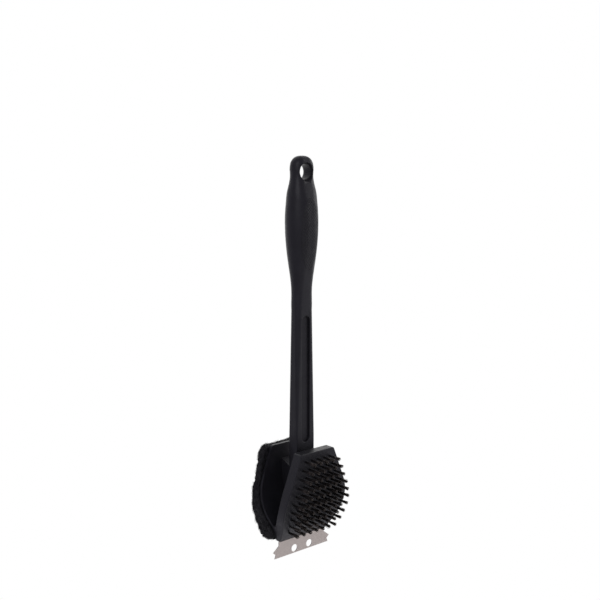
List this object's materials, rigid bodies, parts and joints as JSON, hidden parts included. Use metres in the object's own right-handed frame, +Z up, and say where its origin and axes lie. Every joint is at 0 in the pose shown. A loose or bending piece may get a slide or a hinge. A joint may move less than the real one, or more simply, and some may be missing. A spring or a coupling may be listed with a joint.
{
  "type": "grill cleaning brush",
  "caption": "Long-handled two-sided grill brush: wire bristles on one plate, scouring pad on the other, notched scraper at the tip, hanging eye at the top.",
  "frame": {"origin": "centre of the hanging eye", "axes": "+Z up along the handle from scraper to eye, -Y the way the bristles point, +Y through the hanging eye towards the pad side, X across the head"},
  "size_m": [0.092, 0.0801, 0.4405],
  "materials": {
    "handle_plastic": "fine spark-eroded black polypropylene, slightly polished by the hand on the grip",
    "grip_rubber": "soft black elastomer with a raised diamond knurl",
    "head_plastic": "fine-textured black polypropylene with smoother edges",
    "stainless": "brushed stainless sheet, grain across the blade",
    "bristle_wire": "dark oil-tempered steel wire with warm cut tips",
    "staple_wire": "bright drawn steel anchor wire",
    "zinc_screw": "zinc-plated steel",
    "scouring_fibre": "coarse black non-woven abrasive fibre",
    "glue": "translucent amber hot-melt film"
  },
  "bodies": {
    "root": {"handle": "handle_plastic", "grip_panel_front": "grip_rubber", "grip_panel_back": "grip_rubber", "head_frame": "head_plastic", "scraper": "stainless", "handle_screws": "zinc_screw", "scraper_screws": "zinc_screw", "scouring_pad": "scouring_fibre", "pad_glue": "glue", "bristle_row_01": "bristle_wire", "bristle_row_02": "bristle_wire", "bristle_row_03": "bristle_wire", "bristle_row_04": "bristle_wire", "bristle_row_05": "bristle_wire", "bristle_row_06": "bristle_wire", "bristle_row_07": "bristle_wire", "bristle_row_08": "bristle_wire", "bristle_row_09": "bristle_wire", "bristle_row_10": "bristle_wire", "staple_row_01": "staple_wire", "staple_row_02": "staple_wire", "staple_row_03": "staple_wire", "staple_row_04": "staple_wire", "staple_row_05": "staple_wire", "staple_row_06": "staple_wire", "staple_row_07": "staple_wire", "staple_row_08": "staple_wire", "staple_row_09": "staple_wire", "staple_row_10": "staple_wire"}
  },
  "joints": []
}
